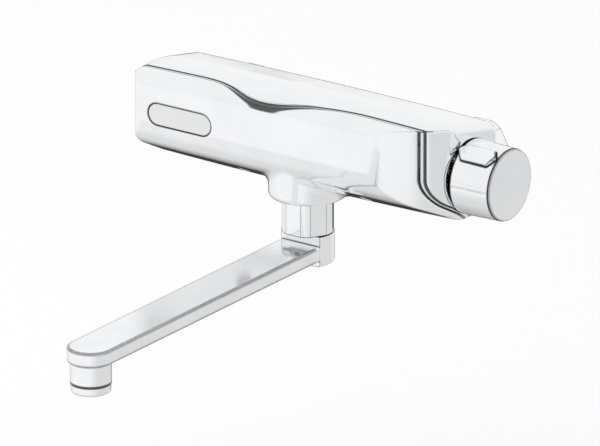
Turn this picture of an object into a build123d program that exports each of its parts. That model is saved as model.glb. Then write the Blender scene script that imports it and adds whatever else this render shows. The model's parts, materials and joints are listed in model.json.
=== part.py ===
from build123d import *
import os
from math import sqrt

# Wall-mounted basin tap that opens by itself when hands come near, with a thermostat.
# Millimetres. X runs along the body towards the temperature knob, Y runs towards the
# wall, Z is up. The origin lies midway between the two inlets, in the plane where the
# union nuts end, which is where the pipes begin.


# Driving dimensions: the casing

inlet_pitch = 150.0
left_overhang = 27.0
right_overhang = 21.5
body_back_y = -17.0
body_depth = 65.0
body_mid_z = 3.0
body_top_z = 31.0
body_bottom_z = -26.0
crest_depth = 38.0
belly_depth = 31.0
barrel_share = 0.055
casing_wall = 2.2
seam_setback = 9.1
seam_dip = 8.1
seam_strip_width = 2.5
seam_clearance = 0.3
strip_recess = 0.3

# The casing's section, seen from its end: depth from the wall side, height, corner radius
section_corners = [
    (0.0, body_bottom_z + 2.0, 6.0),
    (0.0, body_top_z - 8.2, 9.0),
    (crest_depth, body_top_z, 70.0),
    (body_depth - 1.0, body_top_z - 0.5, 7.0),
    (body_depth + 1.0, body_mid_z + 7.0, 60.0),
    (body_depth - 2.0, body_bottom_z + 16.5, 14.0),
    (belly_depth, body_bottom_z, 40.0),
]

# How the front draws in at the ends, as quarter ellipses: length along the body, depth
left_front_draw = (10.0, 10.0)
right_front_draw = (45.0, 30.0)
left_edge_radius = 5.5
right_edge_radius = 4.5

# Driving dimensions: the spout and its collar

swivel_depth = 41.3
collar_radius = 21.3
collar_bottom_z = -26.6
collar_blend = 7.0
collar_edge = 2.5
spout_nut_od = 28.9
spout_nut_flats = 27.3
spout_nut_bottom_z = -46.4
spout_reach = 200.0
arm_width = 25.4
arm_height = 8.6
arm_top_drop = 5.8
arm_wall = 1.6
arm_edge = 1.2
spout_base_height = 17.6
outlet_radius = 11.2
outlet_height = 11.9
aerator_height = 4.9

# Driving dimensions: the knob

knob_axis_depth = 27.0
knob_gap = 0.8
knob_length = 25.0
knob_rear_radius = 20.7
knob_front_radius = 20.05
knob_cap_radius = 19.7
knob_cap_thickness = 1.3
button_angle = 32.0
button_length = 23.9
button_edge_length = 16.4
button_width = 10.4
button_proud = 2.2
button_travel = 1.5

# Driving dimensions: the sensor window

window_length = 41.1
window_height = 12.1
window_x = -67.9
window_z = 8.8
window_clearance = 0.3
window_recess = 0.3

# Driving dimensions: the inlets, for three-quarter inch union nuts

union_thread_radius = 12.06
union_thread_length = 8.4
union_nut_flats = 30.0
union_nut_od = 31.6
union_nut_length = 16.4
tail_bore_radius = 8.0

# Driving dimensions: the thermostat and the solenoid valve

cartridge_bore_radius = 14.5
sleeve_wall = 3.5
barrel_wall = 3.5
barrel_left_x = 20.0
barrel_setback = 8.5
solenoid_y = -56.0
plunger_travel = 1.2
check_travel = 2.0
battery_size = (34.0, 19.0, 32.0)
battery_setback = 10.9

# Places that follow from these

body_left_x = -inlet_pitch / 2 - left_overhang
body_right_x = inlet_pitch / 2 + right_overhang
barrel_right_x = body_right_x - barrel_setback
barrel_radius = cartridge_bore_radius + barrel_wall
body_front_y = body_back_y - body_depth
seam_y = body_front_y + seam_setback
seam_dip_y = seam_y - seam_dip
swivel_y = body_back_y - swivel_depth
knob_axis_y = body_back_y - knob_axis_depth

# Clearances

running_clearance = 0.05
sliding_clearance = 0.1
seat_gap = 0.3


# Small helpers


def rod(radius, start, end):
    """A round bar between two points."""
    path = Vector(*end) - Vector(*start)
    return Solid.make_cylinder(radius, path.length, Plane(Vector(*start), z_dir=path))


def rod_x(radius, start, end, y=0.0, z=0.0):
    return rod(radius, (start, y, z), (end, y, z))


def rod_y(radius, start, end, x=0.0, z=0.0):
    return rod(radius, (x, start, z), (x, end, z))


def rod_z(radius, start, end, x=0.0, y=0.0):
    return rod(radius, (x, y, start), (x, y, end))


def turned(*points):
    """A part turned on a lathe: its half section as (radius, height) points about Z."""
    outline = Polyline(*[(radius, 0, height) for radius, height in points], close=True)
    return revolve(Face(Wire(outline.edges())), Axis.Z)


def lie_along_x(shape, y=0.0, z=0.0):
    return Pos(0, y, z) * Rot(0, 90, 0) * shape


def lie_along_y(shape, x=0.0, z=0.0):
    return Pos(x, 0, z) * Rot(-90, 0, 0) * shape


def rounded_ring(radius, thickness, height):
    """A rubber ring of round section about Z, with its middle at the given height."""
    return Pos(0, 0, height) * Torus(radius, thickness / 2)


def block(x_range, y_range, z_range):
    size = [high - low for low, high in (x_range, y_range, z_range)]
    middle = [(high + low) / 2 for low, high in (x_range, y_range, z_range)]
    return Pos(*middle) * Box(*size)


def hexagon_bar(flats, od, bottom, top):
    """A hexagon bar about Z with its corners turned down, a flat facing -Y."""
    bar = extrude(RegularPolygon(flats / 2, 6, major_radius=False), top - bottom)
    return Pos(0, 0, bottom) * bar & rod_z(od / 2, bottom, top)


def save(name, *solids):
    """One named sub-part, written as one file of one or more separate solids."""
    pieces = [solid for shape in solids for solid in shape.solids()]
    part = pieces[0] if len(pieces) == 1 else Compound(children=pieces)
    part.label = name
    export_step(part, f"parts/{name}.step")


# The casing form, which every shell is cut from


def inward_normal(start, end):
    across = (end[0] - start[0], end[1] - start[1])
    length = sqrt(across[0] ** 2 + across[1] ** 2)
    return (-across[1] / length, across[0] / length)


def casing_section(x, inset):
    """The casing's rounded outline at one place along its length, set in by a wall."""
    body_length = body_right_x - body_left_x
    off_middle = (x - (body_left_x + body_right_x) / 2) / (body_length / 2)
    barrel = 1 + barrel_share * (1 - off_middle**2)
    points = [
        (body_back_y - depth, body_mid_z + (z - body_mid_z) * barrel)
        for depth, z, radius in section_corners
    ]
    moved = []
    for index, point in enumerate(points):
        before = inward_normal(points[index - 1], point)
        after = inward_normal(point, points[(index + 1) % len(points)])
        reach = inset / (1 + before[0] * after[0] + before[1] * after[1])
        y = point[0] + reach * (before[0] + after[0])
        z = point[1] + reach * (before[1] + after[1])
        moved.append((x, y, z))
    radii = [radius - inset for depth, z, radius in section_corners]
    return Face(Wire(FilletPolyline(*moved, radius=radii, close=True).edges()))


def plan_prism(inset):
    """The casing's outline from above, rounded towards the front at both ends."""
    left_x = body_left_x + inset
    right_x = body_right_x - inset
    front_y = body_front_y + inset
    left_length, left_depth = left_front_draw
    right_length, right_depth = right_front_draw
    left_middle = (left_x + left_length, front_y + left_depth)
    right_middle = (right_x - right_length, front_y + right_depth)
    left_arc = EllipticalCenterArc(left_middle, left_length, left_depth, start_angle=180, arc_size=90)
    right_arc = EllipticalCenterArc(right_middle, right_length, right_depth, start_angle=270, arc_size=90)
    outline = [
        left_arc,
        Line(left_arc @ 1, right_arc @ 0),
        right_arc,
        Line(right_arc @ 1, (right_x, far)),
        Line((right_x, far), (left_x, far)),
        Line((left_x, far), left_arc @ 0),
    ]
    plan = Face(Wire([edge for line in outline for edge in line.edges()]))
    return Pos(0, 0, -far) * extrude(plan, 2 * far)


def casing_form(inset):
    """The whole casing as one solid, a little fuller in the middle, its skin set in a little."""
    places = (body_left_x + inset, (body_left_x + body_right_x) / 2, body_right_x - inset)
    form = loft([casing_section(x, inset) for x in places])
    for x, radius in ((places[0], left_edge_radius), (places[-1], right_edge_radius)):
        end_face = form.faces().filter_by_position(Axis.X, x - 0.1, x + 0.1)[0]
        form = fillet(end_face.edges(), radius - inset)
    return form & plan_prism(inset)


def casing_room():
    """The room inside the casing: wide on the left, close around the thermostat barrel."""
    left_end = body_left_x + casing_wall + left_edge_radius / 2
    right_end = body_right_x - right_front_draw[0] - casing_wall
    section_x = body_left_x + left_front_draw[0]
    section = Pos(left_end - section_x, 0, 0) * casing_section(section_x, casing_wall)
    room = extrude(section, right_end - left_end, dir=(1, 0, 0)) & plan_prism(casing_wall)
    room += rod_x(barrel_radius + 1.5, right_end - 8, barrel_right_x + 0.5, knob_axis_y)
    return room + rod_y(inlet_boss_radius + 1.2, knob_axis_y, body_back_y - casing_wall, inlet_pitch / 2)


far = 200.0
inlet_boss_radius = 12.5
outer_form = casing_form(0.0)
inner_room = casing_room()


# The seam between the front cover and the casing behind it

dip_left_x = -61.0
dip_x = -14.0
dip_right_x = 50.0
# The skin is steep at the dip, so a step along it takes a shorter step in plan there
dip_shift_share = 0.55
seam_turn_z = -7.5
seam_turn_radius = 20.0
seam_ledge_z = 25.0
seam_end_y = body_back_y - 21.0
seam_end_z = -29.0


def behind_seam(shift):
    """Everything on the wall side of the seam, moved towards the wall by a shift.

    Where the wave dips over the front edge, the front wall below it stays with the cover.
    """
    line_y = seam_y + shift
    low_y = seam_dip_y + shift * dip_shift_share
    left = (dip_left_x, line_y)
    low = (dip_x, low_y)
    right = (dip_right_x, line_y)
    fall = (dip_x - dip_left_x) / 2
    rise = (dip_right_x - dip_x) / 2.6
    edges = [
        Line((-far, line_y), left),
        Bezier(left, (left[0] + fall, line_y), (low[0] - fall, low_y), low),
        Bezier(low, (low[0] + rise, low_y), (right[0] - rise, line_y), right),
        Line(right, (far, line_y)),
        Line((far, line_y), (far, far)),
        Line((far, far), (-far, far)),
        Line((-far, far), (-far, line_y)),
    ]
    plan = Face(Wire([edge for line in edges for edge in line.edges()]))
    wave = Pos(0, 0, -far) * extrude(plan, 2 * far)
    front_z = (body_mid_z + body_top_z) / 2
    side_points = [
        (-far, seam_y + shift, front_z),
        (-far, seam_y + shift, seam_turn_z),
        (-far, seam_end_y + shift, seam_end_z + shift),
        (-far, far, seam_end_z + shift),
        (-far, far, far),
        (-far, -far, far),
        (-far, -far, front_z),
    ]
    corner_radii = [0, seam_turn_radius - shift, 0, 0, 0, 0, 0]
    side = FilletPolyline(*side_points, radius=corner_radii, close=True)
    behind = wave & extrude(Face(Wire(side.edges())), 2 * far, dir=(1, 0, 0))
    front_wall_y = body_front_y + casing_wall + 0.4
    return behind - block((-far, far), (-far, front_wall_y), (-far, seam_ledge_z + shift))


# Where the cover keeps a round tongue behind the collar
tongue_radius = collar_radius + 4.0
tongue_top_z = collar_bottom_z + 10.0


def tongue(extra):
    return rod_z(tongue_radius + extra, -far, tongue_top_z + extra, 0, swivel_y)


casing_zone = behind_seam(seam_strip_width) - tongue(seam_strip_width)
strip_zone = behind_seam(seam_clearance) - tongue(seam_clearance)
strip_zone -= behind_seam(seam_strip_width - seam_clearance) - tongue(seam_strip_width - seam_clearance)
cover_backing = behind_seam(0.0) - tongue(0.0)

collar_hole_radius = spout_nut_od / 2 + 0.6
collar_lip = 2.6


def front_cover():
    """The front shell, with the wavy top edge and the collar that flows out of its belly."""
    collar = rod_z(collar_radius, collar_bottom_z, 0, 0, swivel_y)
    collar = fillet(collar.edges().group_by(Axis.Z)[0], collar_edge)
    shape = outer_form + collar
    joint_edges = [
        edge
        for edge in shape.edges()
        if edge.geom_type != GeomType.CIRCLE
        and abs(edge.center().Z + 18) < 8
        and sqrt(edge.center().X ** 2 + (edge.center().Y - swivel_y) ** 2) < collar_radius + 2.2
    ]
    shape = fillet(joint_edges, collar_blend)
    shape = shape - inner_room - cover_backing
    room = rod_z(collar_radius - casing_wall, collar_bottom_z + collar_lip, 0, 0, swivel_y)
    shape = shape - room - rod_z(collar_hole_radius, -far, 0, 0, swivel_y)
    shape = shape - window_prism(window_clearance)
    for x in screw_places:
        boss = rod_z(screw_boss_radius, screw_seat_z, screw_seat_z + screw_boss_height, x, screw_y)
        shape = shape + ((boss & outer_form) - cover_backing)
        shape = shape - rod_z(screw_hole_radius, -far, screw_seat_z + far, x, screw_y)
        shape = shape - rod_z(screw_head_radius + 0.3, -far, screw_seat_z, x, screw_y)
    return shape


# The screws that hold the cover from below, where nobody looks

screw_places = (-40.0, 40.0)
screw_y = seam_y + 11.6
screw_seat_z = -17.0
screw_boss_radius = 4.2
screw_boss_height = 2.2
screw_hole_radius = 2.2
screw_head_radius = 3.4
screw_head_height = 2.0
screw_radius = 1.9
screw_length = 5.0


def cross_head_screw(radius, length, head_radius, head_height):
    """A pan-head screw about Z with its head down and a cross recess, head seat at zero."""
    shank = rod_z(radius, -0.2, length)
    head = rod_z(head_radius, -head_height, 0)
    head = fillet(head.edges().group_by(Axis.Z)[0], head_height * 0.45)
    slot = Box(head_radius * 1.2, head_radius * 0.28, head_height * 1.1)
    cross = Pos(0, 0, -head_height) * (slot + Rot(0, 0, 90) * slot)
    return head + shank - cross


def window_prism(extra):
    pill = SlotOverall(window_length + 2 * extra, window_height + 2 * extra)
    deep = extrude(Plane.XZ * pill, both=True, amount=12)
    return Pos(window_x, body_front_y, window_z) * deep


def rear_casing():
    """The shell behind the seam: crowned top, back and both ends."""
    shape = (outer_form - inner_room) & casing_zone
    for x in (-inlet_pitch / 2, inlet_pitch / 2):
        shape = shape - rod_y(tail_neck_radius + 0.6, body_back_y - 6, 10, x)
    shape = shape - rod_x(cartridge_nut_radius + 0.5, body_right_x - 14, body_right_x + 10, knob_axis_y)
    for x in back_screw_places:
        shape = shape - rod_y(screw_hole_radius, body_back_y - 6, 10, x, back_screw_z)
    return shape


def seam_strip():
    """The narrow strip that fills the seam, a little below both shells."""
    skin = casing_form(strip_recess) - inner_room
    strip = (skin & strip_zone).solids()
    return strip.sort_by(lambda solid: solid.volume)[-1]


# The brass valve body

tail_neck_radius = 10.9
tail_flange_radius = 11.9
tail_thread_radius = 9.8
tail_socket_depth = 8.0
inlet_boss_back_y = body_back_y - casing_wall - 0.6
hot_channel_y = -31.0
hot_channel_radius = 8.5
channel_bore_radius = 5.5
duct_y = -54.0
outlet_boss_radius = 12.4
outlet_bore_radius = 8.9
outlet_neck_bottom_z = -38.0
outlet_top_z = 11.0
solenoid_seat_x = -18.0
solenoid_seat_radius = 13.5
diaphragm_radius = 11.4
cartridge_nut_radius = cartridge_bore_radius + 2.1
back_screw_places = (-45.0, 5.0)
back_screw_z = 0.0
lug_radius = 3.4
lug_top_z = -12.0


def valve_body():
    """One casting: thermostat barrel, inlets, cross channel, solenoid seat and spout neck."""
    shape = rod_x(barrel_radius, barrel_left_x, barrel_right_x, knob_axis_y)
    shape += rod_x(hot_channel_radius, -inlet_pitch / 2, barrel_left_x + 5, hot_channel_y)
    shape += rod_y(inlet_boss_radius, hot_channel_y - 4, inlet_boss_back_y, -inlet_pitch / 2)
    shape += rod_y(inlet_boss_radius, knob_axis_y, inlet_boss_back_y, inlet_pitch / 2)
    shape += rod_x(11.0, solenoid_seat_x + 6, barrel_left_x + 4, duct_y)
    shape += rod_z(outlet_boss_radius, outlet_neck_bottom_z, outlet_top_z, 0, swivel_y)
    shape += rod_x(solenoid_seat_radius, solenoid_seat_x, solenoid_seat_x + 9, solenoid_y)
    for x in screw_places:
        lug_bottom = screw_seat_z + screw_boss_height + 0.2
        shape += rod_z(lug_radius, lug_bottom, lug_top_z, x, screw_y)
        shape += block((x - 4, x + 4), (screw_y, hot_channel_y + 3), (lug_bottom, lug_top_z))
        shape += block((x - 4, x + 4), (hot_channel_y - 3, hot_channel_y + 3), (lug_bottom, -6))
        shape -= rod_z(screw_radius, lug_bottom - 1, screw_seat_z + screw_length + 0.3, x, screw_y)
    for x in back_screw_places:
        lug = rod_y(4.5, hot_channel_y, inlet_boss_back_y, x, back_screw_z)
        shape = shape + lug - rod_y(screw_radius, inlet_boss_back_y - 7, 0, x, back_screw_z)
    shape -= rod_x(cartridge_bore_radius, barrel_left_x + 6, far, knob_axis_y)
    shape -= rod_x(channel_bore_radius, -inlet_pitch / 2, barrel_left_x + 8, hot_channel_y)
    shape -= rod_x(6.0, solenoid_seat_x + 3, barrel_left_x + 8, duct_y)
    shape -= rod_x(diaphragm_radius + 0.2, solenoid_seat_x - 1, solenoid_seat_x + 2.2, solenoid_y)
    shape -= rod_z(outlet_bore_radius, outlet_neck_bottom_z - 1, 5.0, 0, swivel_y)
    for side in (-1, 1):
        x = side * inlet_pitch / 2
        inner_y = hot_channel_y if side < 0 else knob_axis_y
        socket_y = inlet_boss_back_y - tail_socket_depth
        shape -= rod_y(tail_thread_radius, socket_y, 0, x)
        shape -= rod_y(6.5, inner_y, socket_y + 1, x)
    return shape


# The inlets: tail, union nut, washer, strainer and check valve on each side

tail_flange_y = -union_thread_length - 2.0
tail_flange_thickness = 2.5
nut_shoulder = 3.0


def inlet_tail():
    """The threaded nipple that carries the union nut, about Z with the wall at the top."""
    bottom = inlet_boss_back_y - tail_socket_depth + 0.2
    return turned(
        (tail_bore_radius, bottom),
        (tail_thread_radius - running_clearance, bottom),
        (tail_thread_radius - running_clearance, inlet_boss_back_y + 0.1),
        (tail_neck_radius, inlet_boss_back_y + 0.1),
        (tail_neck_radius, tail_flange_y - tail_flange_thickness),
        (tail_flange_radius, tail_flange_y - tail_flange_thickness),
        (tail_flange_radius, tail_flange_y),
        (tail_bore_radius, tail_flange_y),
    )


def union_nut():
    """A turned-down hexagon nut with a shoulder at the back and a thread in its mouth."""
    nut = hexagon_bar(union_nut_flats, union_nut_od, -union_nut_length, 0)
    nut -= rod_z(tail_neck_radius + 0.25, -far, 0)
    nut -= rod_z(union_thread_radius + 0.4, nut_shoulder - union_nut_length, -union_thread_length)
    nut -= rod_z(union_thread_radius, -union_thread_length, 1)
    return nut


def union_washer():
    return turned(
        (tail_bore_radius, tail_flange_y + 0.02),
        (tail_flange_radius, tail_flange_y + 0.02),
        (tail_flange_radius, -union_thread_length - 0.1),
        (tail_bore_radius, -union_thread_length - 0.1),
    )


def strainer():
    """A cup of fine mesh in the tail's mouth."""
    outside = tail_bore_radius - running_clearance
    return turned(
        (0, tail_flange_y - 6.0),
        (outside - 2.0, tail_flange_y - 6.0),
        (outside - 0.6, tail_flange_y - 1.0),
        (outside, tail_flange_y - 1.0),
        (outside, tail_flange_y - 0.1),
        (outside - 1.2, tail_flange_y - 0.1),
        (outside - 2.6, tail_flange_y - 5.4),
        (0, tail_flange_y - 5.4),
    )


check_seat_y = -18.2
check_seat_radius = 4.6
check_back_y = -27.4


def check_housing():
    """The plastic cage of a check valve, with its seat towards the wall."""
    outside = tail_bore_radius - running_clearance
    cage = turned(
        (outside - 1.3, check_back_y),
        (outside, check_back_y),
        (outside, check_seat_y + 1.6),
        (check_seat_radius, check_seat_y + 1.6),
        (check_seat_radius, check_seat_y),
        (outside - 1.3, check_seat_y),
    )
    guide = rod_z(1.9, check_back_y, check_back_y + 3.0) - rod_z(1.2, check_back_y - 1, check_back_y + 4)
    spokes = block((-outside + 1, outside - 1), (-0.6, 0.6), (check_back_y, check_back_y + 1.5))
    spokes += Rot(0, 0, 90) * spokes
    spokes -= rod_z(1.6, check_back_y - 1, check_back_y + 4)
    return cage + spokes + guide


def check_poppet():
    """The poppet that closes the check valve, with its guide stem."""
    return turned(
        (0, check_back_y + 0.6),
        (1.1, check_back_y + 0.6),
        (1.1, check_seat_y - 2.4),
        (5.4, check_seat_y - 1.8),
        (5.4, check_seat_y - 0.1),
        (3.6, check_seat_y - 0.1),
        (0, check_seat_y + 1.2),
    )


def plain_spring(inner, outer, start, end):
    """The room a small hidden spring fills, as a plain sleeve about Z."""
    return rod_z(outer, start, end) - rod_z(inner, start - 1, end + 1)


# The thermostat, about the knob's axis, turned about Z and then laid along X

cartridge_start_x = barrel_left_x + 8.0
cartridge_end_x = barrel_right_x - 4.0
sleeve_inner_radius = cartridge_bore_radius - sleeve_wall
piston_x = (46.0, 56.0)
piston_port_web = 1.09
element_collar_radius = 5.9
element_start_x = 32.0
element_end_x = 60.0
spindle_foot_x = 65.0
spindle_end_x = body_right_x + 14.0
spindle_radius = 4.4
knob_rear_x = body_right_x + knob_gap
knob_end_x = knob_rear_x + knob_length
knob_shell_end_x = knob_end_x - knob_cap_thickness - 0.02


def cartridge_sleeve():
    outside = cartridge_bore_radius - sliding_clearance
    sleeve = turned(
        (sleeve_inner_radius - 4.5, cartridge_start_x),
        (outside, cartridge_start_x),
        (outside, cartridge_end_x),
        (sleeve_inner_radius, cartridge_end_x),
        (sleeve_inner_radius, cartridge_start_x + 2.5),
        (sleeve_inner_radius - 4.5, cartridge_start_x + 2.5),
    )
    for place in seal_places:
        groove = rod_z(far, place - 1.1, place + 1.1) - rod_z(outside - 1.5, place - 2, place + 2)
        sleeve -= groove
    for place in (piston_x[0] - 3.0, piston_x[1] + 3.0):
        for turn in range(4):
            port = rod(2.0, (0, 0, place), (20, 0, place))
            sleeve -= Rot(0, 0, 45 + 90 * turn) * port
    return sleeve


seal_places = (38.0, 51.0, 68.0)


def sleeve_seals():
    outside = cartridge_bore_radius - sliding_clearance
    return [rounded_ring(outside - 0.72, 1.5, place) for place in seal_places]


def thermostat_element():
    """The wax capsule with its collar and pushing pin."""
    return turned(
        (0, element_start_x),
        (4.2, element_start_x),
        (5.0, element_start_x + 1.0),
        (5.0, piston_x[0] + 2.0),
        (element_collar_radius, piston_x[0] + 2.0),
        (element_collar_radius, element_end_x - 2.0),
        (3.0, element_end_x - 1.0),
        (3.0, element_end_x),
        (1.6, element_end_x),
        (1.6, spindle_foot_x - 0.9),
        (0, spindle_foot_x - 0.9),
    )


def regulating_piston():
    """The sliding ring that mixes hot and cold, with four ports through it."""
    outside = sleeve_inner_radius - sliding_clearance
    bore = element_collar_radius + 0.02
    piston = rod_z(outside, *piston_x) - rod_z(bore, 0, far)
    port_radius = (outside - bore) / 2 - piston_port_web
    for turn in range(4):
        piston -= Rot(0, 0, 90 * turn) * rod_z(port_radius, 0, far, (outside + bore) / 2 - 0.01, 0)
    return piston


def spindle():
    """The screwed spindle that the knob turns."""
    shape = turned(
        (0, spindle_foot_x),
        (3.2, spindle_foot_x),
        (3.2, spindle_foot_x + 6.0),
        (8.0, spindle_foot_x + 6.0),
        (8.0, spindle_foot_x + 9.0),
        (spindle_radius, spindle_foot_x + 9.0),
        (spindle_radius, spindle_end_x),
        (0, spindle_end_x),
    )
    shape -= rod_z(1.5, spindle_end_x - 9, spindle_end_x + 1)
    return shape - block((spindle_radius - 0.9, 9), (-9, 9), (knob_rear_x + 0.5, spindle_end_x + 1))


def cartridge_nut():
    """The brass nut that holds the thermostat in the barrel, with four key slots."""
    nut = turned(
        (spindle_radius + running_clearance, cartridge_end_x + 0.5),
        (cartridge_bore_radius - running_clearance, cartridge_end_x + 0.5),
        (cartridge_bore_radius - running_clearance, barrel_right_x + 0.1),
        (cartridge_nut_radius, barrel_right_x + 0.1),
        (cartridge_nut_radius, barrel_right_x + 4.0),
        (spindle_radius + running_clearance, barrel_right_x + 4.0),
    )
    for turn in range(4):
        slot = block((12.0, 20.0), (-1.5, 1.5), (barrel_right_x + 2.0, barrel_right_x + 5.0))
        nut -= Rot(0, 0, 90 * turn) * slot
    return nut


def stop_ring():
    """The toothed ring that the knob's safety stop runs against."""
    start = barrel_right_x + 4.1
    ring = rod_z(11.0, start, start + 3.2) - rod_z(spindle_radius + 0.4, start - 1, start + 5)
    for turn in range(24):
        ring -= Rot(0, 0, 15 * turn) * block((10.3, 12), (-0.6, 0.6), (start - 1, start + 2))
    return ring


# The knob, about its axis


def knob_outer(radius_drop, start, end):
    """The knob's slightly tapered barrel, or the same set in by a drop in radius."""
    return turned(
        (0, start),
        (knob_rear_radius - radius_drop, start),
        (knob_front_radius - radius_drop, end),
        (0, end),
    )


knob_wall = 1.8
knob_end_wall = 2.4
knob_hub_radius = 7.2


def knob():
    """A hollow knob with a hub on the spindle and a slot for the stop button."""
    shape = knob_outer(0, knob_rear_x, knob_shell_end_x)
    shape -= knob_outer(knob_wall, knob_rear_x - 1, knob_shell_end_x - knob_end_wall)
    shape += rod_z(knob_hub_radius, knob_rear_x + 1.5, knob_shell_end_x)
    flat = block((spindle_radius - 0.85, 9), (-9, 9), (0, far))
    shape -= rod_z(spindle_radius + running_clearance, 0, spindle_end_x + 0.3) - flat
    shape -= rod_z(1.8, 0, far)
    shape -= rod_z(4.2, spindle_end_x + 2.8, far)
    return shape - button_hole()


def knob_cap():
    cap = rod_z(knob_cap_radius, knob_end_x - knob_cap_thickness, knob_end_x)
    cap = fillet(cap.edges().group_by(Axis.Z)[-1], 0.35)
    plug = rod_z(3.6, knob_end_x - 3.2, knob_end_x - knob_cap_thickness)
    return cap + plug


def button_block(extra, low, high):
    """The hexagon-ended bar in the knob's top, standing out along +Y before it is turned."""
    half_edge = button_edge_length / 2 + extra / 2
    half_tip = button_length / 2 + extra
    half_width = button_width / 2 + extra
    outline = Polyline(
        (-half_tip, 0),
        (-half_edge, half_width),
        (half_edge, half_width),
        (half_tip, 0),
        (half_edge, -half_width),
        (-half_edge, -half_width),
        close=True,
    )
    middle = knob_rear_x + button_length / 2 - 0.4
    bar = extrude(Face(Wire(outline.edges())), high - low, dir=(0, 0, 1))
    return Pos(0, 0, middle) * Rot(0, -90, 0) * Pos(0, 0, low) * bar


button_clearance = 0.3
button_top_radius = 7.5


def button_hole():
    return turn_button(button_block(button_clearance, 8, far))


def turn_button(shape):
    """Turn a shape made towards -X about Z to the button's place on the knob."""
    return Rot(0, 0, button_angle) * shape


def stop_button():
    """The crowned stop button: pushed in, it lets the knob pass its comfort setting."""
    reach = knob_rear_radius + button_proud
    bar = button_block(0, reach - 7.0, reach)
    crown = rod_z(button_top_radius, 0, far, -(reach - button_top_radius), 0)
    shape = bar & crown
    stem = rod(2.2, (-(knob_hub_radius + 3.2), 0, button_middle_x), (-(reach - 5), 0, button_middle_x))
    return turn_button(shape + stem)


button_middle_x = knob_rear_x + button_length / 2 - 0.4


def button_spring():
    low = knob_hub_radius + 0.15
    high = knob_rear_radius + button_proud - 7.2 - button_travel
    outer = rod(3.4, (-low, 0, button_middle_x), (-high, 0, button_middle_x))
    inner = rod(2.6, (-low + 1, 0, button_middle_x), (-high - 1, 0, button_middle_x))
    return turn_button(outer - inner)


def knob_screw():
    seat = spindle_end_x + 2.8
    return turned(
        (0, spindle_end_x - 7),
        (1.45, spindle_end_x - 7),
        (1.45, seat + 0.02),
        (3.6, seat + 0.02),
        (3.6, seat + 2.2),
        (1.5, seat + 2.2),
        (1.5, seat + 1.0),
        (0, seat + 1.0),
    )


# The solenoid valve, about its axis, turned about Z and laid along X

core_inner_radius = 4.0
core_outer_radius = 4.6
coil_start_x = -53.0
coil_end_x = -31.0
bonnet_start_x = -30.0


def diaphragm():
    face = solenoid_seat_x + 2.0
    return turned(
        (0, face - 2.2),
        (5.0, face - 2.2),
        (6.5, face - 1.0),
        (diaphragm_radius, face - 1.0),
        (diaphragm_radius, face),
        (6.0, face),
        (4.5, face - 0.8),
        (0, face - 0.8),
    )


def solenoid_bonnet():
    """The cap that clamps the diaphragm and carries the plunger's tube."""
    shape = turned(
        (core_inner_radius, coil_start_x - 1.5),
        (core_outer_radius, coil_start_x - 1.5),
        (core_outer_radius, bonnet_start_x),
        (solenoid_seat_radius, bonnet_start_x + 4),
        (solenoid_seat_radius, solenoid_seat_x - 0.1),
        (diaphragm_radius - 2.5, solenoid_seat_x - 0.1),
        (diaphragm_radius - 2.5, solenoid_seat_x - 3.0),
        (core_inner_radius, solenoid_seat_x - 5.0),
    )
    return shape + rod_z(core_outer_radius, coil_start_x - 3.5, coil_start_x - 1.5)


plunger_start_x = coil_start_x + 12.0


def solenoid_plunger():
    end = solenoid_seat_x - 0.6
    return turned(
        (0, plunger_start_x),
        (core_inner_radius - sliding_clearance, plunger_start_x),
        (core_inner_radius - sliding_clearance, end - 2.0),
        (2.4, end),
        (0, end),
    )


def solenoid_coil():
    """The wound coil in its moulded jacket, with the iron yoke's two end plates."""
    inner = core_outer_radius + sliding_clearance
    jacket = rod_z(10.0, coil_start_x + 1.6, coil_end_x - 1.6)
    plates = rod_z(10.8, coil_start_x, coil_start_x + 1.6) + rod_z(10.8, coil_end_x - 1.6, coil_end_x)
    return jacket + plates - rod_z(inner, -far, far)


# The electronics behind the window

module_y = (body_front_y + casing_wall + 1.4, body_front_y + casing_wall + 12.8)


def sensor_housing():
    """An open black tray that holds the board behind the window."""
    half_length = window_length / 2 + 2.0
    half_height = window_height / 2 + 1.5
    x_range = (window_x - half_length, window_x + half_length)
    z_range = (window_z - half_height, window_z + half_height)
    tray = block(x_range, module_y, z_range)
    tray = fillet(tray.edges().filter_by(Axis.Y), 3.0)
    room_x = (x_range[0] + 1.2, x_range[1] - 1.2)
    room_z = (z_range[0] + 1.2, z_range[1] - 1.2)
    return tray - block(room_x, (module_y[0] - 1, module_y[1] - 1.5), room_z)


board_y = module_y[1] - 3.2
diode_places = (-12.0, 0.0, 12.0)


def sensor_board():
    x_range = (window_x - window_length / 2 + 1.2, window_x + window_length / 2 - 1.2)
    z_range = (window_z - window_height / 2 - 0.1, window_z + window_height / 2 + 0.1)
    return block(x_range, (board_y, board_y + 1.6), z_range)


def infrared_diode(x):
    """One domed diode standing on the board."""
    front = module_y[0] + 2.2
    can = rod_y(2.4, board_y - 0.02, front, window_x + x, window_z)
    dome = Pos(window_x + x, front, window_z) * Sphere(2.4)
    rim = rod_y(2.9, board_y - 0.02, board_y - 1.0, window_x + x, window_z)
    keep = block((window_x + x - 4, window_x + x + 4), (front - 3, board_y - 0.02), (0, 20))
    return (can + dome + rim) & keep


holder_wall = 1.4
holder_gap = 0.3
battery_start_x = body_left_x + casing_wall + left_edge_radius / 2 + seat_gap + holder_wall + holder_gap
battery_x = (battery_start_x, battery_start_x + battery_size[0])
battery_y = (seam_y + battery_setback, seam_y + battery_setback + battery_size[1])
battery_z = (-12.0, -12.0 + battery_size[2])


def battery():
    """Two cells in one wrap, so the pack's ends are round."""
    radius = battery_size[1] / 2
    middle_y = sum(battery_y) / 2
    middle_x = sum(battery_x) / 2
    plan = SlotOverall(battery_size[0], battery_size[1])
    pack = extrude(plan, battery_size[2] - 2.0)
    return Pos(middle_x, middle_y, battery_z[0]) * fillet(pack.edges().group_by(Axis.Z)[-1], 1.0)


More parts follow.
